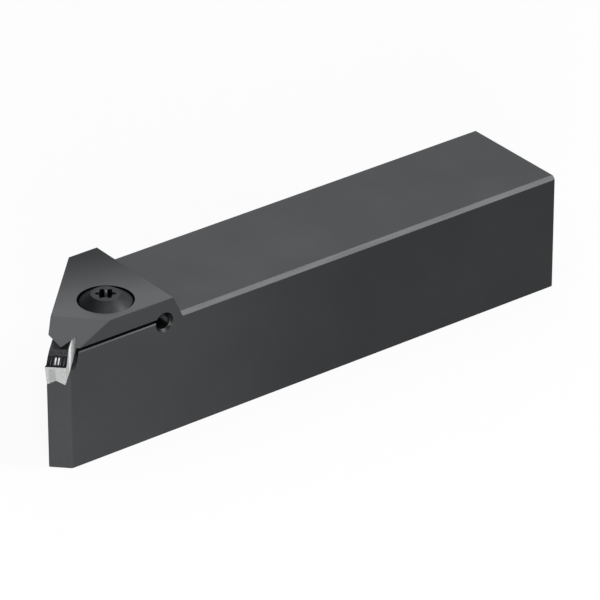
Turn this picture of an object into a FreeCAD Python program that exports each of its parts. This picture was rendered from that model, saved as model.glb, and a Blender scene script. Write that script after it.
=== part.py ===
import FreeCAD, Part
import Sketcher
import math
import os

# A right-hand turning tool holder for relief grooving at 45 degrees. The square shank, the raised head and
# the clamp jaw are one milled piece. A thin slot under the jaw ends in a relief hole, so that the screw can
# pull the jaw down on a double-ended carbide insert, which sits between two prisms.
#
# Frame: X along the shank with the cutting end at -X, Y across it with the cutting edge on the -Y side, Z up.
# The origin is on the bottom face, in the middle of the length that a tool block grips.
# The formulas below count X from the rear end, Y from the near side face and Z from the bottom.

SIZES = {
    # shank
    "shank_height": 25.0,
    "shank_width": 25.0,
    "overall_length": 125.0,
    "grip_length": 90.0,
    "top_chamfer": 0.74,
    "rear_chamfer": 0.35,
    # head and jaw
    "head_rise": 4.05,
    "head_length": 30.6,
    "ramp_angle": 24.5,
    "jaw_face_angle": 36.0,
    "jaw_setback": 7.05,
    "front_setback": 5.5,
    "near_corner_radius": 0.9,
    "far_corner_radius": 0.3,
    "edge_break": 0.1,
    # place of the cutting edge
    "insert_angle": 45.0,
    "insert_swing": 1.5,
    "tip_outset": 2.65,
    # insert
    "insert_length": 24.0,
    "cutting_width": 4.0,
    "flank_foot_width": 3.5,
    "body_width": 3.6,
    "prism_width": 3.2,
    "prism_angle": 28.0,
    "side_relief_run": 5.0,
    "flank_height": 3.9,
    "flank_angle": 7.0,
    "edge_land": 0.2,
    "former_run": 1.4,
    "former_depth": 0.3,
    "crest_setback": 3.0,
    "crest_rise": 0.6,
    "dam_rise": 1.2,
    "groove_setback": 4.8,
    "rib_width": 0.24,
    "rib_pitch": 0.62,
    # seat pocket of the insert
    "pocket_half_width": 2.8,
    "pocket_flare": 0.6,
    "pocket_corner_radius": 1.2,
    "stop_clearance": 0.2,
    "dam_clearance": 0.5,
    # clamping slot
    "slot_gap": 0.78,
    "slot_lip": 0.2,
    "relief_diameter": 3.2,
    "relief_chamfer": 0.45,
    "relief_inset": 2.1,
    "relief_drop": 0.72,
    # clamp screw and its hole
    "screw_setback": 19.9,
    "screw_inset": 7.0,
    "counterbore_diameter": 11.1,
    "counterbore_depth": 1.4,
    "jaw_hole_diameter": 6.6,
    "thread_diameter": 6.0,
    "thread_clearance": 0.05,
    "thread_length": 11.0,
    "thread_chamfer": 0.8,
    "hole_spare_depth": 2.5,
    "drill_point_angle": 59.0,
    "head_seat_gap": 0.05,
    "screw_head_diameter": 10.4,
    "screw_flat_diameter": 5.6,
    "screw_head_lift": 1.35,
    "screw_rim_drop": 0.25,
    "socket_diameter": 3.9,
    "socket_waist": 2.86,
    "socket_rib_radius": 0.87,
    "socket_depth": 2.0,
    "socket_turn": 15.0,
}
RIB_COUNT = 5
LOBE_COUNT = 6
MARGIN = 1.0

doc = FreeCAD.newDocument("turning_tool_holder")
sheet = doc.addObject("Spreadsheet::Sheet", "Sizes")
for row, (name, value) in enumerate(SIZES.items(), start=1):
    sheet.set(f"A{row}", name)
    sheet.set(f"B{row}", str(value))
    sheet.setAlias(f"B{row}", name)
doc.recompute()


def formula(text):
    """Point every size named in a formula at its spreadsheet cell."""
    for name in sorted(SIZES, key=len, reverse=True):
        text = text.replace(f"[{name}]", f"Sizes.{name}")
    return text


# Heights, all from the bottom face. The cutting edge lies at the height of the shank.
EDGE_Z = "[shank_height]"
HEAD_TOP = "([shank_height] + [head_rise])"
FOOT_Z = "([shank_height] - [flank_height])"
DAM_Z = "([shank_height] + [dam_rise])"
PRISM_RISE = "([prism_width] / 2 * tan([prism_angle]))"
SEAT_PEAK = f"({FOOT_Z} + {PRISM_RISE})"
NOSE_LOW = f"({DAM_Z} - {PRISM_RISE})"
POCKET_RISE = "([pocket_half_width] * tan([prism_angle]))"
SEAT_Z = f"({HEAD_TOP} - [counterbore_depth])"

# The tool's line starts at the middle of the cutting edge and runs back into the head at the insert angle.
TIP_X = "(-[overall_length] + [cutting_width] / 2 * sin([insert_angle]))"
TIP_Y = "(-[tip_outset])"
TIP_TURN = "(180 + [insert_angle])"

# The insert and its pocket are swung a little from that line, and so is the far side of the head.
INSERT_TURN = "(180 + [insert_angle] + [insert_swing])"
INSERT_WAY = "([insert_angle] + [insert_swing])"

# The rear end and the near side face, seen from the origin.
REAR_X = "[grip_length] / 2"
NEAR_Y = "-[shank_width] / 2"
BEYOND = "(2 * [overall_length])"

# Places along the shank that keep their distance from the cutting end, or from the head's rear edge.
HEAD_X = "(-[overall_length] + [head_length])"
RELIEF_X = f"({HEAD_X} - [relief_inset])"
SCREW_X = "(-[overall_length] + [screw_setback])"

# The two faces of the clamping slot, which lies level with the cutting edge.
SLOT_LOW = f"({EDGE_Z} - [slot_gap] / 2)"
SLOT_HIGH = f"({EDGE_Z} + [slot_gap] / 2)"


def plane_of(body, role):
    return next(feature for feature in body.Origin.OriginFeatures if feature.Role == role)


def new_sketch(body, name, plane, base=("0", "0", "0"), turn="0"):
    """A sketch on one of the body's own planes, moved by formulas and turned about the vertical."""
    sketch = body.newObject("Sketcher::SketchObject", name)
    sketch.AttachmentSupport = [(plane_of(body, plane), "")]
    sketch.MapMode = "FlatFace"
    upright = FreeCAD.Vector(0, 0, 1) if plane == "XY_Plane" else FreeCAD.Vector(0, 1, 0)
    sketch.AttachmentOffset = FreeCAD.Placement(FreeCAD.Vector(), FreeCAD.Rotation(upright, 1))
    sketch.setExpression("AttachmentOffset.Rotation.Angle", formula(turn))
    for axis, place in zip("xyz", base):
        sketch.setExpression(f"AttachmentOffset.Base.{axis}", formula(place))
    return sketch


def set_point(sketch, edge, end, place):
    """Hold one end of an edge, or the centre of a circle, at a place given by two formulas."""
    for kind, text in zip(("DistanceX", "DistanceY"), place):
        index = sketch.addConstraint(Sketcher.Constraint(kind, -1, 1, edge, end, MARGIN))
        sketch.setExpression(f"Constraints[{index}]", formula(text))


def outline(body, name, plane, corners, **where):
    """A closed outline of straight edges through corners, each a pair of formulas."""
    sketch = new_sketch(body, name, plane, **where)
    count = len(corners)
    ring = [FreeCAD.Vector(math.cos(turn), math.sin(turn), 0)
            for turn in (2 * math.pi * step / count for step in range(count))]
    for edge in range(count):
        sketch.addGeometry(Part.LineSegment(ring[edge], ring[(edge + 1) % count]))
    for edge in range(count):
        sketch.addConstraint(Sketcher.Constraint("Coincident", edge, 2, (edge + 1) % count, 1))
    for edge, place in enumerate(corners):
        set_point(sketch, edge, 1, place)
    return sketch


def circle(body, name, plane, centre, diameter, **where):
    sketch = new_sketch(body, name, plane, **where)
    sketch.addGeometry(Part.Circle(FreeCAD.Vector(), FreeCAD.Vector(0, 0, 1), MARGIN))
    set_point(sketch, 0, 3, centre)
    index = sketch.addConstraint(Sketcher.Constraint("Diameter", 0, 2 * MARGIN))
    sketch.setExpression(f"Constraints[{index}]", formula(diameter))
    return sketch


def extrude(body, kind, sketch, length, symmetric=False, back=False):
    """Pad or pocket a sketch, and check that it adds or takes material."""
    before = body.Shape.Volume if body.Tip else 0.0
    feature = body.newObject(f"PartDesign::{kind}", f"{kind}{sketch.Name}")
    feature.Profile = sketch
    feature.SideType = "Symmetric" if symmetric else "One side"
    feature.Reversed = back
    feature.setExpression("Length", formula(length))
    doc.recompute()
    change = body.Shape.Volume - before
    if (change <= 0) if kind == "Pad" else (change >= 0):
        raise RuntimeError(f"{feature.Name} changes the volume by {change}")
    return feature


def pad(body, sketch, length, **how):
    return extrude(body, "Pad", sketch, length, **how)


def pocket(body, sketch, length, **how):
    return extrude(body, "Pocket", sketch, length, **how)


def dress(body, kind, name, amount, test):
    """Fillet or chamfer the edges of the body that pass a test."""
    base = body.Tip
    names = [f"Edge{number}" for number, edge in enumerate(base.Shape.Edges, start=1) if test(edge)]
    feature = body.newObject(f"PartDesign::{kind}", name)
    feature.Base = (base, names)
    feature.setExpression("Radius" if kind == "Fillet" else "Size", formula(amount))
    doc.recompute()
    return feature


def size(name):
    return float(sheet.get(name))


def near(value, target):
    return abs(value - target) < 0.01


def is_upright(edge):
    ends = edge.Vertexes
    return len(ends) == 2 and near(ends[0].X, ends[1].X) and near(ends[0].Y, ends[1].Y)


def make_holder():
    """Shank, head, jaw, insert pocket, clamping slot and screw hole, milled from one bar."""
    body = doc.addObject("PartDesign::Body", "Holder")
    body.Label = "holder"
    add_bar(body)
    cut_front(body)
    cut_insert_pocket(body)
    cut_slot(body)
    cut_screw_hole(body)
    body.setExpression("Placement.Base.x", formula(REAR_X))
    body.setExpression("Placement.Base.y", formula(NEAR_Y))
    return body


def add_bar(body):
    """The square bar with its chamfered near top edge, and the block of the head with its rear ramp."""
    low = "([shank_height] - 2 * [top_chamfer])"
    low_x = f"({HEAD_X} + ({HEAD_TOP} - {low}) * tan([ramp_angle]))"
    section = outline(body, "ShankSection", "YZ_Plane", [
        ("0", "0"),
        ("[shank_width]", "0"),
        ("[shank_width]", "[shank_height]"),
        ("[top_chamfer]", "[shank_height]"),
        ("0", "[shank_height] - [top_chamfer]"),
    ])
    pad(body, section, "[overall_length]", back=True)
    side = outline(body, "HeadSide", "XZ_Plane", [
        ("-[overall_length]", "[shank_height] / 2"),
        (low_x, "[shank_height] / 2"),
        (low_x, low),
        (HEAD_X, HEAD_TOP),
        ("-[overall_length]", HEAD_TOP),
    ])
    pad(body, side, "[shank_width]", back=True)
    dress(body, "Chamfer", "RearEdges", "[rear_chamfer]",
          lambda edge: all(near(corner.X, 0) for corner in edge.Vertexes))


def cut_front(body):
    """The plan of the front end, and the inclined face of the jaw above the slot."""
    drift = f"({BEYOND} - [front_setback]) * tan([insert_swing])"
    plan = outline(body, "FrontPlan", "XY_Plane", [
        (f"-{BEYOND}", f"-[pocket_half_width] - {drift}"),
        ("-[front_setback]", "-[pocket_half_width]"),
        ("-[front_setback]", BEYOND),
        (BEYOND, BEYOND),
        (BEYOND, f"-{BEYOND}"),
        (f"-{BEYOND}", f"-{BEYOND}"),
    ], base=(TIP_X, TIP_Y, "0"), turn=TIP_TURN)
    pocket(body, plan, BEYOND, symmetric=True)
    front_x = min(corner.X for corner in body.Shape.Vertexes)
    dress(body, "Fillet", "FarCorner", "[far_corner_radius]",
          lambda edge: is_upright(edge) and near(edge.Vertexes[0].X, front_x))
    side_edges = [edge.Vertexes[0].X for edge in body.Shape.Edges
                  if is_upright(edge) and near(edge.Vertexes[0].Y, 0)]
    dress(body, "Fillet", "NearCorner", "[near_corner_radius]",
          lambda edge: is_upright(edge) and near(edge.Vertexes[0].Y, 0)
          and near(edge.Vertexes[0].X, min(side_edges)))
    lean = "tan([jaw_face_angle])"
    face = outline(body, "JawFace", "XZ_Plane", [
        (f"-[jaw_setback] - ({HEAD_TOP} + 1 - {NOSE_LOW}) / {lean}", f"{HEAD_TOP} + 1"),
        (f"-[jaw_setback] + ({NOSE_LOW} - {SLOT_LOW}) / {lean}", SLOT_LOW),
        (BEYOND, SLOT_LOW),
        (BEYOND, f"{HEAD_TOP} + 1"),
    ], base=(TIP_X, "0", f"-{TIP_Y}"), turn=TIP_TURN)
    pocket(body, face, BEYOND, symmetric=True)
    top = size("shank_height") + size("head_rise")
    dress(body, "Chamfer", "TopEdges", "[edge_break]",
          lambda edge: all(near(corner.Z, top) for corner in edge.Vertexes))


def across(corner):
    """How far a corner of the holder lies from the insert's middle plane, positive towards the shank."""
    turn = math.radians(size("insert_angle"))
    tip_x = -size("overall_length") + size("cutting_width") / 2 * math.sin(turn)
    turn += math.radians(size("insert_swing"))
    return (corner.X - tip_x) * math.sin(turn) - (corner.Y + size("tip_outset")) * math.cos(turn)


def cut_insert_pocket(body):
    """A channel along the insert, open to the far side, with a prism below and one above.

    The near wall steps back to the jaw at the height of the slot. Near the stop the prism above gives way
    to a flat roof, which leaves room for the insert's rear cutting end.
    """
    open_side = "([pocket_half_width] + 1)"
    open_rise = f"({open_side} * tan([prism_angle]))"
    section = outline(body, "PocketSection", "YZ_Plane", [
        ("0", SEAT_PEAK),
        ("[pocket_half_width]", f"{SEAT_PEAK} - {POCKET_RISE}"),
        ("[pocket_half_width] + [pocket_flare]", EDGE_Z),
        ("[pocket_half_width]", EDGE_Z),
        ("[pocket_half_width]", f"{NOSE_LOW} + {POCKET_RISE}"),
        ("0", NOSE_LOW),
        (f"-{open_side}", f"{NOSE_LOW} + {open_rise}"),
        (f"-{open_side}", f"{SEAT_PEAK} - {open_rise}"),
    ], base=(TIP_Y, "0", TIP_X), turn=INSERT_TURN)
    pocket(body, section, "[insert_length] + [stop_clearance]")
    dam_t = "([insert_length] - [groove_setback] - [dam_clearance])"
    roof = outline(body, "DamRoom", "YZ_Plane", [
        ("[pocket_half_width]", EDGE_Z),
        ("[pocket_half_width]", f"{NOSE_LOW} + {POCKET_RISE}"),
        (f"-{open_side}", f"{NOSE_LOW} + {POCKET_RISE}"),
        (f"-{open_side}", EDGE_Z),
    ], base=(f"{TIP_Y} + {dam_t} * sin({INSERT_WAY})", "0", f"{TIP_X} + {dam_t} * cos({INSERT_WAY})"),
        turn=INSERT_TURN)
    pocket(body, roof, f"[insert_length] + [stop_clearance] - {dam_t}")
    half = size("pocket_half_width")
    floor_z = size("shank_height") - size("flank_height")
    dress(body, "Fillet", "PocketCorner", "[pocket_corner_radius]",
          lambda edge: all(near(across(corner), half) and corner.Z < floor_z for corner in edge.Vertexes)
          and near(edge.Vertexes[0].Z, edge.Vertexes[-1].Z))


def cut_slot(body):
    """The thin sawn slot under the jaw, and the round hole a little lower that ends it."""
    slot = outline(body, "SlotSide", "XZ_Plane", [
        (RELIEF_X, SLOT_LOW),
        (f"-{BEYOND}", SLOT_LOW),
        (f"-{BEYOND}", SLOT_HIGH),
        (RELIEF_X, SLOT_HIGH),
    ])
    pocket(body, slot, BEYOND, symmetric=True)
    relief = circle(body, "ReliefHole", "XZ_Plane", (RELIEF_X, f"{EDGE_Z} - [relief_drop]"),
                    "[relief_diameter]")
    pocket(body, relief, BEYOND, symmetric=True)
    slot_low = size("shank_height") - size("slot_gap") / 2
    dress(body, "Chamfer", "SlotLip", "[slot_lip]",
          lambda edge: all(near(corner.Y, 0) and near(corner.Z, slot_low) for corner in edge.Vertexes))
    dress(body, "Chamfer", "ReliefRim", "[relief_chamfer]",
          lambda edge: isinstance(edge.Curve, Part.Circle) and near(edge.Curve.Center.y, 0)
          and near(edge.Curve.Radius, size("relief_diameter") / 2))


def cut_screw_hole(body):
    """Counterbore and free hole in the jaw, and the threaded hole with its drill point below the slot."""
    thread = "([thread_diameter] / 2 + [thread_clearance])"
    floor = f"({EDGE_Z} - [thread_length] - [hole_spare_depth])"
    profile = outline(body, "ScrewHole", "XZ_Plane", [
        ("0", f"{floor} - {thread} / tan([drill_point_angle])"),
        (thread, floor),
        (thread, EDGE_Z),
        ("[jaw_hole_diameter] / 2", EDGE_Z),
        ("[jaw_hole_diameter] / 2", SEAT_Z),
        ("[counterbore_diameter] / 2", SEAT_Z),
        ("[counterbore_diameter] / 2", f"{HEAD_TOP} + 1"),
        ("0", f"{HEAD_TOP} + 1"),
    ], base=(SCREW_X, "0", "-[screw_inset]"))
    before = body.Shape.Volume
    groove = body.newObject("PartDesign::Groove", "GrooveScrewHole")
    groove.Profile = profile
    groove.ReferenceAxis = (profile, ["V_Axis"])
    groove.Angle = 360
    doc.recompute()
    if body.Shape.Volume >= before:
        raise RuntimeError("the screw hole takes nothing away")


def make_insert():
    """The double-ended grooving insert: prism grooves, clearances, chip formers with their ribs."""
    body = doc.addObject("PartDesign::Body", "Insert")
    body.Label = "insert"
    add_insert_blank(body)
    cut_insert_ends(body)
    cut_prisms(body)
    add_ribs(body)
    middle = "([insert_length] / 2)"
    body.setExpression("Placement.Base.x", formula(f"{REAR_X} + {TIP_X} + {middle} * cos({INSERT_WAY})"))
    body.setExpression("Placement.Base.y", formula(f"{NEAR_Y} + {TIP_Y} + {middle} * sin({INSERT_WAY})"))
    body.Placement.Rotation = FreeCAD.Rotation(FreeCAD.Vector(0, 0, 1), 1)
    body.setExpression("Placement.Rotation.Angle", formula(INSERT_TURN))
    return body


def add_insert_blank(body):
    """A bar that widens from the clamped middle to the two cutting edges, and narrows towards its foot."""
    edge_half = "([cutting_width] / 2)"
    foot_half = "([flank_foot_width] / 2)"
    top_half = f"({edge_half} + ({edge_half} - {foot_half}) * [dam_rise] / [flank_height])"
    body_half = "([body_width] / 2)"
    end = "([insert_length] / 2)"
    inner = f"({end} - [side_relief_run])"
    sections = []
    for name, place, half_low, half_high in (
        ("FrontSection", end, foot_half, top_half),
        ("FrontBodySection", inner, body_half, body_half),
        ("RearBodySection", f"-{inner}", body_half, body_half),
        ("RearSection", f"-{end}", foot_half, top_half),
    ):
        sections.append(outline(body, name, "YZ_Plane", [
            (f"-{half_low}", FOOT_Z),
            (half_low, FOOT_Z),
            (half_high, DAM_Z),
            (f"-{half_high}", DAM_Z),
        ], base=("0", "0", place)))
    loft = body.newObject("PartDesign::AdditiveLoft", "Blank")
    loft.Profile = sections[0]
    loft.Sections = sections[1:]
    loft.Ruled = True
    doc.recompute()


def cut_insert_ends(body):
    """Front clearance, cutting edge, chip former, its crest and the ramp up to the prism, at both ends."""
    end = "([insert_length] / 2)"
    ramp_end = f"({end} - [groove_setback])"
    profile = outline(body, "EndProfile", "XZ_Plane", [
        (ramp_end, f"{DAM_Z} + 1"),
        (ramp_end, DAM_Z),
        (f"{end} - [crest_setback]", f"{EDGE_Z} + [crest_rise]"),
        (f"{end} - [former_run]", f"{EDGE_Z} - [former_depth]"),
        (f"{end} - [edge_land]", EDGE_Z),
        (end, EDGE_Z),
        (f"{end} - ([flank_height] + 1) * tan([flank_angle])", f"{FOOT_Z} - 1"),
        (f"{end} + 1", f"{FOOT_Z} - 1"),
        (f"{end} + 1", f"{DAM_Z} + 1"),
    ])
    cut = pocket(body, profile, "2 * [cutting_width]", symmetric=True)
    mirror = body.newObject("PartDesign::Mirrored", "OtherEnd")
    mirror.Originals = [cut]
    mirror.MirrorPlane = (plane_of(body, "YZ_Plane"), [""])
    body.Tip = mirror
    doc.recompute()


def cut_prisms(body):
    """The prism groove along the whole underside, and the one on top between the two ramps."""
    half = "([prism_width] / 2)"
    below = outline(body, "LowerPrism", "YZ_Plane", [
        (f"-{half}", FOOT_Z),
        (f"-{half}", f"{FOOT_Z} - 1"),
        (half, f"{FOOT_Z} - 1"),
        (half, FOOT_Z),
        ("0", SEAT_PEAK),
    ])
    pocket(body, below, "2 * [insert_length]", symmetric=True)
    above = outline(body, "UpperPrism", "YZ_Plane", [
        (f"-{half}", DAM_Z),
        ("0", NOSE_LOW),
        (half, DAM_Z),
        (half, f"{DAM_Z} + 1"),
        (f"-{half}", f"{DAM_Z} + 1"),
    ])
    pocket(body, above, "[insert_length] - 2 * [groove_setback]", symmetric=True)


def add_ribs(body):
    """Ribs down the rear slope of each chip former, side by side across it."""
    end = "([insert_length] / 2)"
    slope_z = f"({EDGE_Z} - [former_depth])"
    first = f"{(RIB_COUNT - 1) / 2} * [rib_pitch]"
    for place, side in (("Front", ""), ("Rear", "-")):
        rib = outline(body, f"{place}Rib", "XZ_Plane", [
            (f"{side}({end} - [crest_setback])", f"{EDGE_Z} + [crest_rise]"),
            (f"{side}({end} - [crest_setback])", slope_z),
            (f"{side}({end} - 2 * [edge_land])", slope_z),
            (f"{side}({end} - [former_run])", EDGE_Z),
        ], base=("0", "0", first))
        ridge = pad(body, rib, "[rib_width]", symmetric=True)
        pattern = body.newObject("PartDesign::LinearPattern", f"{place}Ribs")
        pattern.Originals = [ridge]
        pattern.Direction = (plane_of(body, "Y_Axis"), [""])
        pattern.Occurrences = RIB_COUNT
        pattern.setExpression("Length", formula(f"{RIB_COUNT - 1} * [rib_pitch]"))
        body.Tip = pattern
        doc.recompute()


def primitive(kind, name, sizes, place=("0", "0", "0")):
    """A cylinder or cone whose sizes and place are formulas."""
    solid = doc.addObject(f"Part::{kind}", name)
    for key, text in sizes.items():
        solid.setExpression(key, formula(text))
    for axis, text in zip("xyz", place):
        solid.setExpression(f"Placement.Base.{axis}", formula(text))
    return solid


def make_clamp_screw():
    """The clamp screw: a cone-shaped head with a six-lobe socket, and a thread with a chamfered end."""
    rim_z = f"({HEAD_TOP} - [screw_rim_drop])"
    top_z = f"({HEAD_TOP} + [screw_head_lift])"
    under_z = f"({SEAT_Z} + [head_seat_gap])"
    end_z = f"({EDGE_Z} - [thread_length])"
    wide = "([screw_head_diameter] / 2)"
    flat = "([screw_flat_diameter] / 2)"
    thread = primitive("Cylinder", "Thread", {
        "Radius": "[thread_diameter] / 2",
        "Height": f"{under_z} - {end_z} - [thread_chamfer] + [counterbore_depth] / 2",
    }, ("0", "0", f"{end_z} + [thread_chamfer]"))
    point = primitive("Cone", "ThreadEnd", {
        "Radius1": "[thread_diameter] / 2 - [thread_chamfer]",
        "Radius2": "[thread_diameter] / 2",
        "Height": "[thread_chamfer]",
    }, ("0", "0", end_z))
    rim = primitive("Cylinder", "HeadRim", {"Radius": wide, "Height": f"{rim_z} - {under_z}"},
                    ("0", "0", under_z))
    cone = primitive("Cone", "HeadCone", {"Radius1": wide, "Radius2": flat, "Height": f"{top_z} - {rim_z}"},
                     ("0", "0", rim_z))
    solid = doc.addObject("Part::MultiFuse", "ScrewBlank")
    solid.Shapes = [thread, point, rim, cone]
    screw = doc.addObject("Part::Cut", "ClampScrew")
    screw.Label = "clamp_screw"
    screw.Base = solid
    screw.Tool = make_socket(top_z)
    screw.setExpression("Placement.Base.x", formula(f"{REAR_X} + {SCREW_X}"))
    screw.setExpression("Placement.Base.y", formula(f"{NEAR_Y} + [screw_inset]"))
    return screw


def make_socket(top_z):
    """The six-lobe recess: a round hole with six round ribs left standing in it."""
    floor = f"({top_z} - [socket_depth])"
    height = "2 * [socket_depth]"
    hole = primitive("Cylinder", "SocketHole", {"Radius": "[socket_diameter] / 2", "Height": height},
                     ("0", "0", floor))
    reach = "([socket_waist] / 2 + [socket_rib_radius])"
    ribs = []
    for lobe in range(LOBE_COUNT):
        turn = f"({360 / LOBE_COUNT * lobe} - [socket_turn])"
        ribs.append(primitive("Cylinder", f"SocketRib{lobe + 1}",
                              {"Radius": "[socket_rib_radius]", "Height": height},
                              (f"{reach} * cos({turn})", f"{reach} * sin({turn})", floor)))
    ring = doc.addObject("Part::MultiFuse", "SocketRibs")
    ring.Shapes = ribs
    socket = doc.addObject("Part::Cut", "Socket")
    socket.Base = hole
    socket.Tool = ring
    return socket


def check(parts):
    """Stop if an object failed, or if a piece isn't one valid solid."""
    for item in doc.Objects:
        if {"Invalid", "Error"} & set(item.State):
            raise RuntimeError(f"{item.Name} failed: {item.State}")
    for part in parts:
        shape = part.Shape
        if shape.isNull() or not shape.isValid() or len(shape.Solids) != 1:
            raise RuntimeError(f"{part.Label} isn't one valid solid")


parts = [make_holder(), make_insert(), make_clamp_screw()]
doc.recompute()
check(parts)
os.makedirs("parts", exist_ok=True)
for part in parts:
    part.Shape.exportStep(f"parts/{part.Label}.step")
    box = part.Shape.BoundBox
    print(part.Label, round(part.Shape.Volume, 2), [round(v, 2) for v in
          (box.XMin, box.YMin, box.ZMin, box.XMax, box.YMax, box.ZMax)])
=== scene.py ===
"""Looks of the turning tool holder: its finishes, the detailed clamp screw, the studio and the camera."""

import math

import bmesh
import bpy
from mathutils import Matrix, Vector


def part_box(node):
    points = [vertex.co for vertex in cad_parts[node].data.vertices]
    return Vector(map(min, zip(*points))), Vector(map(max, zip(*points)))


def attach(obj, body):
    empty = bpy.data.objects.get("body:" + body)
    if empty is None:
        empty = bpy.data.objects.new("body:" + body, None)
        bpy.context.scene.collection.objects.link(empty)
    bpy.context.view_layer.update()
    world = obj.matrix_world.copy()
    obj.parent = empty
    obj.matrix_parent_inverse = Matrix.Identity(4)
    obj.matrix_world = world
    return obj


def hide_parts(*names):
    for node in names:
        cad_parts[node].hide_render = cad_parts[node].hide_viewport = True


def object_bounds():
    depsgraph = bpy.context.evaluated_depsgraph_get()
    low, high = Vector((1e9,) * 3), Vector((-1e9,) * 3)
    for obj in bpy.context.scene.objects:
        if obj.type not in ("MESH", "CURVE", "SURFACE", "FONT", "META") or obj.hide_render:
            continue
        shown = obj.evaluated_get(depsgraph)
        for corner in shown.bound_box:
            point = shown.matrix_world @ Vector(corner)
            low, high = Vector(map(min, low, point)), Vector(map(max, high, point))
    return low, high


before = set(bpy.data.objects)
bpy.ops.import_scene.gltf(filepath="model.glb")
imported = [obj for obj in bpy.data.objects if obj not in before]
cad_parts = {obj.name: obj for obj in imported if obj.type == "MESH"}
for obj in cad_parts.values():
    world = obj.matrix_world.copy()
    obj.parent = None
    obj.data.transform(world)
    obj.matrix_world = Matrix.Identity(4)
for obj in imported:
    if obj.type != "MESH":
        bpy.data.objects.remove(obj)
cad_low, cad_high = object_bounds()
MM = 0.001

# The camera looks at the cutting end from the near side. Its place is in millimetres, its angles in degrees.
CAMERA_PLACE = (-551.683, -710.582, 505.080)
CAMERA_HEADING = 52.66444
CAMERA_DIP = 29.00702
FOCAL_LENGTH = 311.2984
SENSOR = 36.0
CLIP_START = 0.01
CLIP_END = 50.0

# Lamps: heading and height of the way to each in degrees, distance and width in metres, power in watts.
LAMPS = {
    "key": dict(heading=-42.0, height=44.0, distance=0.9, width=0.45, power=3.0),
    "top": dict(heading=193.0, height=77.0, distance=0.9, width=0.5, power=0.3),
    "front": dict(heading=217.0, height=8.0, distance=0.7, width=0.4, power=1.7),
    "near": dict(heading=238.0, height=12.0, distance=0.9, width=0.3, power=6.5),
}
AMBIENT = 0.55
FLOOR_GLOW = 0.9
FLOOR_COLOUR = (0.9, 0.9, 0.9, 1.0)
FLOOR_ROUGHNESS = 0.9
FLOOR_HALF = 6.0
WHITE = (1.0, 1.0, 1.0, 1.0)

# The middle of the insert's cutting edge, the way from it along the insert, and the way to its open flank.
TIP = (-78.586 * MM, -15.15 * MM, 25.0 * MM)
INSERT_TURN = math.radians(46.5)
BACKWARD = (math.cos(INSERT_TURN), math.sin(INSERT_TURN), 0.0)
SIDEWAYS = (math.sin(INSERT_TURN), -math.cos(INSERT_TURN), 0.0)
DOWN = (0.0, 0.0, -1.0)

# The relief hole at the end of the slot: its axis, the directions across it, and the radii of wall and rim.
RELIEF = (-51.52 * MM, 0.0, 24.28 * MM)
ACROSS_RELIEF = (1.0, 0.0, 1.0)
RELIEF_WALL = (1.63 * MM, 1.66 * MM)
RELIEF_RIM = (2.05 * MM, 2.08 * MM)

# A TONE is the grey of a base colour before its tint, and TONES fade from the first to the second. A FADE is
# the stretch over which something changes with the place, and a TILT the stretch over which it changes with
# one part of a face's normal. Three numbers are a span: it runs between the first two, and its ends are as
# soft as the third. A NOISE is a texture's scale and detail, and a RANGE the stretch of its values in use.
NOISE_RANGE = (0.3, 0.7)

# The holder's black finish, with painted light and shade: each way a face looks has its own tone, the sides
# are lighter towards the cutting end, the head's top is lighter at its near edge, the relief hole has a
# painted reflection, and the pocket wall is painted light.
STEEL_TINT = (0.975, 1.0, 1.035)
STEEL_GRAZE = (0.343, 0.35, 0.357, 1.0)
STEEL_ROUGHNESS = (0.35, 0.39)
STEEL_MOTTLE = (0.96, 1.04)
MOTTLE_NOISE = (60.0, 4.0)
GROUND_STRETCH = (90.0, 1500.0, 1500.0)
GROUND_NOISE = (1.0, 3.0)
GROUND_BUMP = 0.02
GROUND_DEPTH = 0.01 * MM
# Painted light and shade: the top and the sides have tones of their own, and the sides get darker towards
# the rear.
TOP_TONE = 0.119
TOP_TILT = (0.3, 0.4)
SIDE_SHADE_TONES = (0.067, 0.043)
SIDE_SHADE_FADE = (-71 * MM, 5 * MM)
# Painted shade on the head's top: lighter at its near edge, darker towards the far side.
HEAD_SHADE_TONES = (0.162, 0.068)
HEAD_SHADE_FADE = (-30 * MM, -4 * MM)
HEAD_SHADE_SLANT = 0.35
HEAD_FOOT = (25.1 * MM, 25.3 * MM)
# Painted shade: head faces turned towards the cutting end are darker by this share.
JAW_SHADE_SHARE = 0.57
JAW_SHADE_TILT = (-0.3, -0.1)
# Painted light and shade: faces turned to the near side, the chamfer and the broken edges get tones of their
# own.
CHAMFER_TONE = 0.054
CHAMFER_FADE = (-49 * MM, -48.5 * MM)
EDGE_TONES = (0.04, 0.03)
EDGE_FADE = (24.8 * MM, 25.2 * MM)
EDGE_TILT = (-0.6, -0.55)
# Painted light: the pocket's side wall is made pale so that it shows out of its shade.
POCKET_PAINTED_LIGHT_TONE = 0.9
POCKET_TILT = (0.8, 0.9)
POCKET_ACROSS = (2.0 * MM, 3.6 * MM, 0.1 * MM)
POCKET_BACK = (0.0, 19.0 * MM, 0.5 * MM)
POCKET_HEIGHT = (19.0 * MM, 25.3 * MM, 0.1 * MM)
# Painted shade and light on the relief hole's rim by the way it faces, and a painted reflection streak on
# its wall.
RIM_SHADE_TONES = (0.013, 0.04)
RIM_SHADE_TILT = (-0.45, -0.1)
DRILLED_TONE = 0.08
STREAK_REFLECTION_TONE = 0.9
STREAK_TILT = (0.1, 0.45, 0.2)
STREAK_FADE = (-12.0 * MM, -10.9 * MM)

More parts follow.
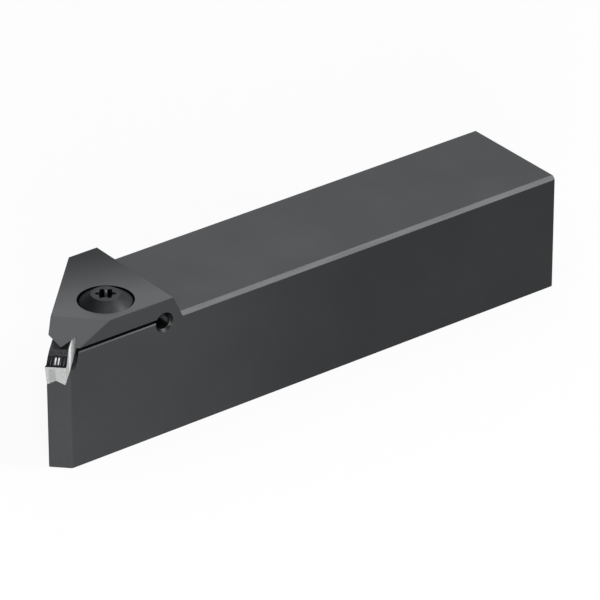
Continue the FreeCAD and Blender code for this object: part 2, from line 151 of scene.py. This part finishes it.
# The insert: pale ground flanks and a dark speckled coat on top, with painted light and shade: the front
# flank darker than the sides with a patch of painted shade, painted light on the flanks in the pocket, a
# painted shadow on one flank of the top groove, and a chip former with painted highlights on two ribs.
CARBIDE_TINT = (0.985, 1.0, 0.985, 1.0)
COAT_TINT = (0.95, 0.95, 1.1, 1.0)
CARBIDE_ROUGHNESS = (0.4, 0.25)
CARBIDE_GRAIN = (0.93, 1.07)
GRAIN_NOISE = (1500.0, 3.0)
# Painted shade: the front flank is darker than the side flanks.
FLANK_SHADE_TONES = (0.27, 0.5)
FLANK_TILT = (0.5, 0.8)
# A patch of painted shade on the front flank, below the edge and towards its far side.
FRONT_SHADE_SHARE = 0.74
FRONT_SHADE_ACROSS = (-1.2 * MM, -0.1 * MM, 0.12 * MM)
FRONT_SHADE_FADE = (0.3 * MM, 0.7 * MM)
FRONT_SHADE_TILT = (0.3, 0.4)
# Painted light: the flanks are made pale where they sit in the pocket's shade.
SEAT_PAINTED_LIGHT_TONE = 1.0
SEAT_FADE = (4.2 * MM, 6.5 * MM)
COAT_TONE = 0.018
COAT_TILT = (0.25, 0.35)
COAT_GLOSS = (0.0, 0.6)
SPECK_NOISE = (5000.0, 2.0)
SPECK_RANGE = (0.35, 0.65)
# Painted shadow on the top groove's flank that is turned away from the open side.
GROOVE_SHADOW_TILT = (-0.3, -0.1)
FORMER_TONE = 0.016
FORMER_BACK = (0.0, 3.2 * MM, 0.1 * MM)
# Painted highlights on the chip former's two ribs.
RIB_HIGHLIGHT_TONE = 0.6
RIBS_ACROSS = ((-0.38 * MM, -0.16 * MM, 0.05 * MM), (0.23 * MM, 0.45 * MM, 0.05 * MM))
RIB_BACK = (1.6 * MM, 2.6 * MM, 0.4 * MM)

# The clamp screw in millimetres. Its height, place and head width come from the frame. The thread's root and
# its two flanks are shares of the pitch, and leave an eighth of it for the crest.
SCREW_SIDES = 144
THREAD_PITCH = 1.0
THREAD_DEPTH = 0.55
THREAD_RADIUS = 3.0
THREAD_LENGTH = 11.6
THREAD_RUNOUT = 1.0
THREAD_START = 0.8
THREAD_ROOT = 0.25
THREAD_FLANKS = 0.625
ROWS_PER_TURN = 12
HEAD_UNDERSIDE = 2.70
HEAD_RIM = 1.60
HEAD_ROUNDING = (0.12, 0.18, 0.2)
ROUNDING_STEPS = 4
FLAT_RADIUS = 2.8
SOCKET_RADIUS = 1.95
SOCKET_WAIST = 1.43
SOCKET_RIB = 0.87
SOCKET_TURN = math.radians(7.3)
SOCKET_DEPTH = 2.0
SOCKET_CHAMFER = 0.09
DRILL_POINT = 0.25
LOBES = 6
SHARP_ANGLE = math.radians(32)

# The screw's dark finish, with painted light and shade: darker to one side of the cone and lighter to the
# other, even on the flat, a little darker on the socket's walls and nearly black as painted shadow in its
# lobes.
ACROSS_SCREW = (1.0, 1.0, 0.0)
SCREW_GRAZE = (0.588, 0.6, 0.612, 1.0)
SCREW_ROUGHNESS = (0.34, 0.42)
SCREW_GRAIN = (0.9, 1.1)
SCREW_NOISE = (700.0, 4.0)
# Painted light and shade across the cone: dark on one side, light towards the way given.
CONE_SHADE_TONES = (0.012, 0.05)
CONE_LIGHT_WAY = (0.5, -0.85, 0.0)
CONE_SHADE_FADE = (-2 * MM, 5 * MM)
FLAT_TONE = 0.065
FLAT_BLEND = 0.15
FLAT_FADE = (FLAT_RADIUS * MM, (FLAT_RADIUS + FLAT_BLEND) * MM)
# Painted shade: the socket's walls a little darker than the flat, and painted shadow, nearly black, in its
# lobes.
RIB_WALL_SHADE_TONE = 0.03
RIB_WALL_DEPTH = (0.0, 0.04 * MM)
RIB_WALL_FADE = (1.9 * MM, 2.0 * MM)
LOBE_SHADOW_TONE = 0.002
LOBE_DEPTH = (0.02 * MM, 0.08 * MM)
LOBE_AWAY = (1.6 * MM, 2.2 * MM, 0.15 * MM)


def add_node(tree, kind, inputs=None, **settings):
    """Adds a node with settings, and with values or links as inputs, and returns its outputs."""
    node = tree.nodes.new(kind)
    for key, value in settings.items():
        setattr(node, key, value)
    for key, value in (inputs or {}).items():
        if isinstance(value, bpy.types.NodeSocket):
            tree.links.new(value, node.inputs[key])
        else:
            node.inputs[key].default_value = value
    return node.outputs


class Finish:
    """A material while it is built, with the places, normals and sums that its tones come from."""

    def __init__(self, name):
        self.material = bpy.data.materials.new(name)
        self.material.use_nodes = True
        self.tree = self.material.node_tree
        self.shader = self.tree.nodes["Principled BSDF"]
        self.place = add_node(self.tree, "ShaderNodeTexCoord")["Object"]
        self.spot = add_node(self.tree, "ShaderNodeSeparateXYZ", {"Vector": self.place})
        self.normal = add_node(self.tree, "ShaderNodeNewGeometry")["True Normal"]
        self.facing = add_node(self.tree, "ShaderNodeSeparateXYZ", {"Vector": self.normal})

    def join(self, output, key):
        self.tree.links.new(output, self.shader.inputs[key])

    def set(self, key, value):
        self.shader.inputs[key].default_value = value

    def noise(self, scale, detail, place=None):
        """A noise texture, on the shaded place if no other is given."""
        inputs = {"Vector": place or self.place, "Scale": scale, "Detail": detail}
        return add_node(self.tree, "ShaderNodeTexNoise", inputs)["Fac"]

    def fade(self, value, start, end, low=0.0, high=1.0):
        """A soft step from low to high while a value runs from start to end."""
        inputs = {"Value": value, "From Min": start, "From Max": end, "To Min": low, "To Max": high}
        return add_node(self.tree, "ShaderNodeMapRange", inputs, interpolation_type="SMOOTHSTEP")["Result"]

    def opposite(self, value, start=0.0, end=1.0):
        """A soft step down from 1 to 0."""
        return self.fade(value, start, end, 1.0, 0.0)

    def within(self, value, low, high, soft):
        """1 where a value lies between two limits, with soft ends outside them."""
        return self.times(self.fade(value, low - soft, low), self.opposite(value, high, high + soft))

    def mix(self, share, first, second):
        """The first value where the share is 0, and the second where it is 1."""
        return add_node(self.tree, "ShaderNodeMix", {"Factor": share, "A": first, "B": second})["Result"]

    def calculate(self, operation, first, second=0.0):
        """The result of an operation on one or two values."""
        return add_node(self.tree, "ShaderNodeMath", {0: first, 1: second}, operation=operation)["Value"]

    def times(self, first, *others):
        for other in others:
            first = self.calculate("MULTIPLY", first, other)
        return first

    def vector(self, operation, first, second):
        """The outputs of an operation on two vectors."""
        return add_node(self.tree, "ShaderNodeVectorMath", {0: first, 1: second}, operation=operation)

    def along(self, start, way):
        """How far the shaded place lies from a start along a way."""
        offset = self.vector("SUBTRACT", self.place, start)["Vector"]
        return self.vector("DOT_PRODUCT", offset, way)["Value"]

    def away(self, centre, directions):
        """How far the shaded place lies from an axis, measured in the directions that are 1 and not 0."""
        offset = self.vector("SUBTRACT", self.place, centre)["Vector"]
        flattened = self.vector("MULTIPLY", offset, directions)["Vector"]
        return add_node(self.tree, "ShaderNodeVectorMath", {0: flattened}, operation="LENGTH")["Value"]

    def turned(self, way):
        """How far the face is turned to a way, from -1 to 1."""
        return self.vector("DOT_PRODUCT", self.normal, way)["Value"]

    def colour(self, tint, tone):
        """Sets the base colour to a tint at a tone."""
        inputs = {0: tint, "Scale": tone}
        scaled = add_node(self.tree, "ShaderNodeVectorMath", inputs, operation="SCALE")
        self.join(scaled["Vector"], "Base Color")


def outer_tone(steel):
    """Tone of the holder's outer faces, painted light and shade by the way each face looks: sides, top, head
    with its jaw, chamfer and broken edges.
    """
    raised = steel.fade(steel.spot["Z"], *HEAD_FOOT)
    # Painted shade across the head's top.
    slant = steel.calculate("ADD", steel.spot["Y"], steel.times(steel.spot["X"], HEAD_SHADE_SLANT))
    # Painted shade on the head faces turned towards the cutting end.
    jaw_shade = steel.fade(steel.facing["X"], *JAW_SHADE_TILT, JAW_SHADE_SHARE, 1.0)
    on_head = steel.times(steel.fade(slant, *HEAD_SHADE_FADE, *HEAD_SHADE_TONES), jaw_shade)
    on_top = steel.mix(raised, TOP_TONE, on_head)
    # Painted light and shade on the chamfer and the broken edges.
    on_edge = steel.fade(steel.spot["Z"], *EDGE_FADE, *EDGE_TONES)
    on_edge = steel.mix(steel.fade(steel.spot["X"], *CHAMFER_FADE), on_edge, CHAMFER_TONE)
    on_top = steel.mix(steel.opposite(steel.facing["Y"], *EDGE_TILT), on_top, on_edge)
    # Painted shade along the sides, lighter towards the cutting end.
    on_side = steel.fade(steel.spot["X"], *SIDE_SHADE_FADE, *SIDE_SHADE_TONES)
    flat = steel.fade(steel.calculate("ABSOLUTE", steel.facing["Z"]), *TOP_TILT)
    return steel.mix(flat, on_side, on_top)


def with_relief_hole(steel, tone):
    """Adds the relief hole to a tone: a rim with painted shade and light by the way it faces, and a wall
    with one painted reflection streak.
    """
    away = steel.away(RELIEF, ACROSS_RELIEF)
    # Painted shade and light on the rim by the way it faces.
    rim_shade = steel.fade(steel.facing["X"], *RIM_SHADE_TILT, *RIM_SHADE_TONES)
    tone = steel.mix(steel.opposite(away, *RELIEF_RIM), tone, rim_shade)
    # A painted reflection streak along the drilled wall.
    inside = steel.fade(steel.spot["Y"], *STREAK_FADE)
    painted_streak = steel.times(steel.within(steel.facing["Z"], *STREAK_TILT), inside)
    wall_tone = steel.mix(painted_streak, DRILLED_TONE, STREAK_REFLECTION_TONE)
    return steel.mix(steel.opposite(away, *RELIEF_WALL), tone, wall_tone)


def with_pocket_painted_light(steel, tone):
    """Adds painted light to the side wall of the insert's pocket."""
    wall = steel.fade(steel.calculate("ABSOLUTE", steel.turned(SIDEWAYS)), *POCKET_TILT)
    across = steel.within(steel.along(TIP, SIDEWAYS), *POCKET_ACROSS)
    back = steel.within(steel.along(TIP, BACKWARD), *POCKET_BACK)
    height = steel.within(steel.spot["Z"], *POCKET_HEIGHT)
    return steel.mix(steel.times(wall, across, back, height), tone, POCKET_PAINTED_LIGHT_TONE)


def burnished_steel():
    """Black-finished steel with a soft mottle, ground along the shank."""
    steel = Finish("burnished_steel")
    mottle = steel.fade(steel.noise(*MOTTLE_NOISE), *NOISE_RANGE, *STEEL_MOTTLE)
    tone = steel.times(outer_tone(steel), mottle)
    steel.colour(STEEL_TINT, with_pocket_painted_light(steel, with_relief_hole(steel, tone)))
    stretched = add_node(steel.tree, "ShaderNodeMapping", {"Vector": steel.place, "Scale": GROUND_STRETCH})
    lines = steel.noise(*GROUND_NOISE, stretched["Vector"])
    steel.join(steel.fade(lines, *NOISE_RANGE, *STEEL_ROUGHNESS), "Roughness")
    inputs = {"Height": lines, "Strength": GROUND_BUMP, "Distance": GROUND_DEPTH}
    steel.join(add_node(steel.tree, "ShaderNodeBump", inputs)["Normal"], "Normal")
    steel.set("Metallic", 1.0)
    steel.set("Specular Tint", STEEL_GRAZE)
    return steel.material


def flank_tone(carbide, back, across, lean):
    """Tone of the ground flanks, with painted light and shade: the front darker than the sides and with a
    patch of painted shade, and the sides painted light where they sit in the pocket.
    """
    # Painted shade: the front flank darker than the sides.
    tone = carbide.fade(lean, *FLANK_TILT, *FLANK_SHADE_TONES)
    # A patch of painted shade on the front flank.
    below = carbide.fade(carbide.along(TIP, DOWN), *FRONT_SHADE_FADE)
    in_front = carbide.opposite(lean, *FRONT_SHADE_TILT)
    front_shade = carbide.times(carbide.within(across, *FRONT_SHADE_ACROSS), below, in_front)
    tone = carbide.times(tone, carbide.fade(front_shade, 0.0, 1.0, 1.0, FRONT_SHADE_SHARE))
    # Painted light on the flanks in the pocket.
    seat_light = carbide.times(carbide.fade(back, *SEAT_FADE), carbide.fade(lean, *FLANK_TILT))
    return carbide.mix(seat_light, tone, SEAT_PAINTED_LIGHT_TONE)


def ground_carbide():
    """Ground carbide flanks, pale and fine-grained, with a dark coating on the faces that look up."""
    carbide = Finish("ground_carbide")
    turned = carbide.turned(SIDEWAYS)
    lean = carbide.calculate("ABSOLUTE", turned)
    back = carbide.along(TIP, BACKWARD)
    across = carbide.along(TIP, SIDEWAYS)
    coated = carbide.fade(carbide.facing["Z"], *COAT_TILT)
    former = carbide.times(coated, carbide.within(back, *FORMER_BACK))
    ribs = carbide.calculate("ADD", *[carbide.within(across, *span) for span in RIBS_ACROSS])
    # Painted highlights on the chip former's ribs.
    rib_highlight = carbide.times(former, ribs, carbide.within(back, *RIB_BACK))
    # Painted shadow on the groove flank turned away from the open side.
    coat = carbide.mix(former, carbide.fade(turned, *GROOVE_SHADOW_TILT, 0.0, COAT_TONE), FORMER_TONE)
    coat = carbide.mix(rib_highlight, coat, RIB_HIGHLIGHT_TONE)
    tone = carbide.mix(coated, flank_tone(carbide, back, across, lean), coat)
    grain = carbide.fade(carbide.noise(*GRAIN_NOISE), *NOISE_RANGE, *CARBIDE_GRAIN)
    dark = carbide.times(coated, carbide.opposite(rib_highlight))
    inputs = {"Factor": dark, "A": CARBIDE_TINT, "B": COAT_TINT}
    tint = add_node(carbide.tree, "ShaderNodeMix", inputs, data_type="RGBA")["Result"]
    carbide.colour(tint, carbide.times(tone, grain))
    carbide.join(carbide.fade(coated, 0.0, 1.0, *CARBIDE_ROUGHNESS), "Roughness")
    gloss = carbide.fade(carbide.noise(*SPECK_NOISE), *SPECK_RANGE, *COAT_GLOSS)
    carbide.join(carbide.times(gloss, carbide.opposite(former)), "Specular IOR Level")
    return carbide.material


def screw_steel():
    """Hardened steel with a dark finish, painted darker to one side of the cone and lighter to the other,
    with painted shade on the socket's walls and painted shadow in its lobes.
    """
    steel = Finish("screw_steel")
    low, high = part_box("clamp_screw")
    top = ((low.x + high.x) / 2, (low.y + high.y) / 2, high.z)
    away = steel.away(top, ACROSS_SCREW)
    depth = steel.along(top, DOWN)
    # Painted light and shade across the cone.
    cone = steel.fade(steel.along(top, CONE_LIGHT_WAY), *CONE_SHADE_FADE, *CONE_SHADE_TONES)
    tone = steel.mix(steel.fade(away, *FLAT_FADE), FLAT_TONE, cone)
    # Painted shade on the socket's walls and painted shadow in its lobes.
    rib_wall_shade = steel.times(steel.fade(depth, *RIB_WALL_DEPTH), steel.opposite(away, *RIB_WALL_FADE))
    tone = steel.mix(rib_wall_shade, tone, RIB_WALL_SHADE_TONE)
    lobe_shadow = steel.times(steel.fade(depth, *LOBE_DEPTH), steel.within(away, *LOBE_AWAY))
    tone = steel.mix(lobe_shadow, tone, LOBE_SHADOW_TONE)
    grain = steel.noise(*SCREW_NOISE)
    steel.colour(STEEL_TINT, steel.times(tone, steel.fade(grain, *NOISE_RANGE, *SCREW_GRAIN)))
    steel.join(steel.fade(grain, *NOISE_RANGE, *SCREW_ROUGHNESS), "Roughness")
    steel.set("Metallic", 1.0)
    steel.set("Specular Tint", SCREW_GRAZE)
    return steel.material


def dress(piece, material):
    """Puts a material on a piece from the frame."""
    for slot in piece.material_slots:
        slot.material = material


def socket_radius(turn):
    """Radius of the six-lobe socket at an angle: a round hole with round ribs that stand into it."""
    reach = SOCKET_WAIST + SOCKET_RIB
    step = math.tau / LOBES
    off = (turn + SOCKET_TURN + step / 2) % step - step / 2
    inside = SOCKET_RIB ** 2 - (reach * math.sin(off)) ** 2
    if inside <= 0:
        return SOCKET_RADIUS
    return min(SOCKET_RADIUS, reach * math.cos(off) - math.sqrt(inside))


def clamped(value):
    """A value kept from 0 to 1."""
    return min(1.0, max(0.0, value))


def thread_radius(turn, height):
    """Radius of the thread at an angle and a height over its end: a screw line of crests and roots."""
    phase = (height / THREAD_PITCH - turn / math.tau) % 1.0
    rise = clamped((abs(2 * phase - 1) - THREAD_ROOT) / THREAD_FLANKS)
    left = clamped((THREAD_LENGTH - height) / THREAD_RUNOUT)
    full = THREAD_RADIUS - THREAD_DEPTH * (1 - rise) * left
    return min(full, THREAD_RADIUS - THREAD_START + height)


def rounded(corner, before, after, radius):
    """Points of the arc that rounds a corner of the screw's section, each a radius and a height."""
    corner, before, after = Vector(corner), Vector(before), Vector(after)
    start, end = (before - corner).normalized(), (after - corner).normalized()
    half = start.angle(end) / 2
    reach = radius / math.tan(half)
    middle = corner + (start + end).normalized() * (radius / math.sin(half))
    first, last = corner + start * reach - middle, corner + end * reach - middle
    shares = [step / ROUNDING_STEPS for step in range(ROUNDING_STEPS + 1)]
    return [middle + first.slerp(last, share) * radius for share in shares]


def screw_rings(head_radius, height):
    """Rings of the screw's skin from the thread's end to the socket's floor, as (radius(turn), height)."""
    under, rim = height - HEAD_UNDERSIDE, height - HEAD_RIM
    rows = round(THREAD_LENGTH / THREAD_PITCH * ROWS_PER_TURN)
    rings = []
    for row in range(rows + 1):
        level = THREAD_LENGTH * row / rows
        rings.append((lambda turn, level=level: thread_radius(turn, level), level))
    section = [(THREAD_RADIUS, under), (head_radius, under), (head_radius, rim), (FLAT_RADIUS, height),
               (SOCKET_RADIUS, height)]
    skin = [section[0]]
    for before, corner, after, radius in zip(section, section[1:], section[2:], HEAD_ROUNDING):
        skin += rounded(corner, before, after, radius)
    rings += [(lambda turn, radius=radius: radius, level) for radius, level in skin]
    socket = [(SOCKET_CHAMFER, height), (0.0, height - SOCKET_CHAMFER), (0.0, height - SOCKET_DEPTH)]
    for widen, level in socket:
        rings.append((lambda turn, widen=widen: socket_radius(turn) + widen, level))
    return rings


def make_screw(material):
    """The clamp screw with its thread, cone-shaped head and six-lobe socket, round the CAD screw's axis."""
    low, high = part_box("clamp_screw")
    axis = (low + high) / 2
    head_radius = (high.x - low.x) / 2 / MM
    height = (high.z - low.z) / MM
    rings = screw_rings(head_radius, height)
    mesh = bmesh.new()
    turns = [math.tau * side / SCREW_SIDES for side in range(SCREW_SIDES)]

    def vertex(radius, turn, level):
        return mesh.verts.new((axis.x + radius * math.cos(turn) * MM, axis.y + radius * math.sin(turn) * MM,
                               low.z + level * MM))

    grid = [[vertex(radius(turn), turn, level) for turn in turns] for radius, level in rings]
    for lower, upper in zip(grid, grid[1:]):
        for side in range(SCREW_SIDES):
            after = (side + 1) % SCREW_SIDES
            mesh.faces.new((lower[side], lower[after], upper[after], upper[side]))
    start, end = vertex(0, 0, 0), vertex(0, 0, height - SOCKET_DEPTH - DRILL_POINT)
    for side in range(SCREW_SIDES):
        after = (side + 1) % SCREW_SIDES
        mesh.faces.new((grid[0][after], grid[0][side], start))
        mesh.faces.new((grid[-1][side], grid[-1][after], end))
    for face in mesh.faces:
        face.smooth = True
    for edge in mesh.edges:
        edge.smooth = edge.calc_face_angle() < SHARP_ANGLE
    data = bpy.data.meshes.new("clamp_screw_detail")
    mesh.to_mesh(data)
    mesh.free()
    data.materials.append(material)
    screw = bpy.data.objects.new("clamp_screw_detail", data)
    bpy.context.scene.collection.objects.link(screw)
    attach(screw, "screw_body")
    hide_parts("clamp_screw")


def make_lamp(name, target, heading, height, distance, width, power):
    """A round soft lamp that looks at the tool from a heading and a height."""
    lamp = bpy.data.lights.new(name, "AREA")
    lamp.shape = "DISK"
    lamp.size = width
    lamp.energy = power
    stand = bpy.data.objects.new(name, lamp)
    bpy.context.scene.collection.objects.link(stand)
    turn, rise = math.radians(heading), math.radians(height)
    way = Vector((math.cos(turn) * math.cos(rise), math.sin(turn) * math.cos(rise), math.sin(rise)))
    stand.location = target + way * distance
    stand.rotation_euler = (-way).to_track_quat("-Z", "Y").to_euler()


def make_camera():
    data = bpy.data.cameras.new("camera")
    data.sensor_width = SENSOR
    data.lens = FOCAL_LENGTH
    data.clip_start = CLIP_START
    data.clip_end = CLIP_END
    camera = bpy.data.objects.new("camera", data)
    bpy.context.scene.collection.objects.link(camera)
    camera.location = Vector(CAMERA_PLACE) * MM
    turn, dip = math.radians(CAMERA_HEADING), math.radians(CAMERA_DIP)
    way = Vector((math.cos(dip) * math.cos(turn), math.cos(dip) * math.sin(turn), -math.sin(dip)))
    camera.rotation_euler = way.to_track_quat("-Z", "Y").to_euler()
    bpy.context.scene.camera = camera


def seen_directly(tree):
    """1 on the rays that should see the plain white studio: those of the camera, gloss and glass."""
    path = add_node(tree, "ShaderNodeLightPath")
    share = path["Is Camera Ray"]
    for kind in ("Is Glossy Ray", "Is Transmission Ray"):
        share = add_node(tree, "ShaderNodeMath", {0: share, 1: path[kind]}, operation="MAXIMUM")["Value"]
    return share


def make_floor(height):
    """A wide white floor under the tool, which keeps a soft shadow."""
    mesh = bpy.data.meshes.new("floor")
    corners = [(-1, -1), (1, -1), (1, 1), (-1, 1)]
    mesh.from_pydata([(x * FLOOR_HALF, y * FLOOR_HALF, height) for x, y in corners], [], [(0, 1, 2, 3)])
    floor = bpy.data.objects.new("floor", mesh)
    bpy.context.scene.collection.objects.link(floor)
    material = bpy.data.materials.new("floor")
    material.use_nodes = True
    tree = material.node_tree
    shader = tree.nodes["Principled BSDF"]
    shader.inputs["Base Color"].default_value = FLOOR_COLOUR
    shader.inputs["Roughness"].default_value = FLOOR_ROUGHNESS
    shader.inputs["Specular IOR Level"].default_value = 0.0
    glow = add_node(tree, "ShaderNodeEmission", {"Color": WHITE, "Strength": 1.0})["Emission"]
    inputs = {0: seen_directly(tree), 1: FLOOR_GLOW}
    share = add_node(tree, "ShaderNodeMath", inputs, operation="MULTIPLY")["Value"]
    mixed = add_node(tree, "ShaderNodeMixShader", {0: share, 1: shader.outputs["BSDF"], 2: glow})["Shader"]
    tree.links.new(mixed, tree.nodes["Material Output"].inputs["Surface"])
    mesh.materials.append(material)


def make_world():
    """A white world that lights the tool at the ambient level and is seen at full white."""
    world = bpy.data.worlds.new("studio")
    bpy.context.scene.world = world
    world.use_nodes = True
    tree = world.node_tree
    inputs = {"Value": seen_directly(tree), "To Min": AMBIENT, "To Max": 1.0}
    level = add_node(tree, "ShaderNodeMapRange", inputs)["Result"]
    background = tree.nodes["Background"]
    background.inputs["Color"].default_value = WHITE
    tree.links.new(level, background.inputs["Strength"])


make_camera()
make_world()
make_floor(cad_low.z)
for lamp_name, lamp_setting in LAMPS.items():
    make_lamp(lamp_name, (cad_low + cad_high) / 2, **lamp_setting)
dress(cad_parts["holder"], burnished_steel())
dress(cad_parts["insert"], ground_carbide())
make_screw(screw_steel())
bpy.context.scene.view_settings.view_transform = "Standard"
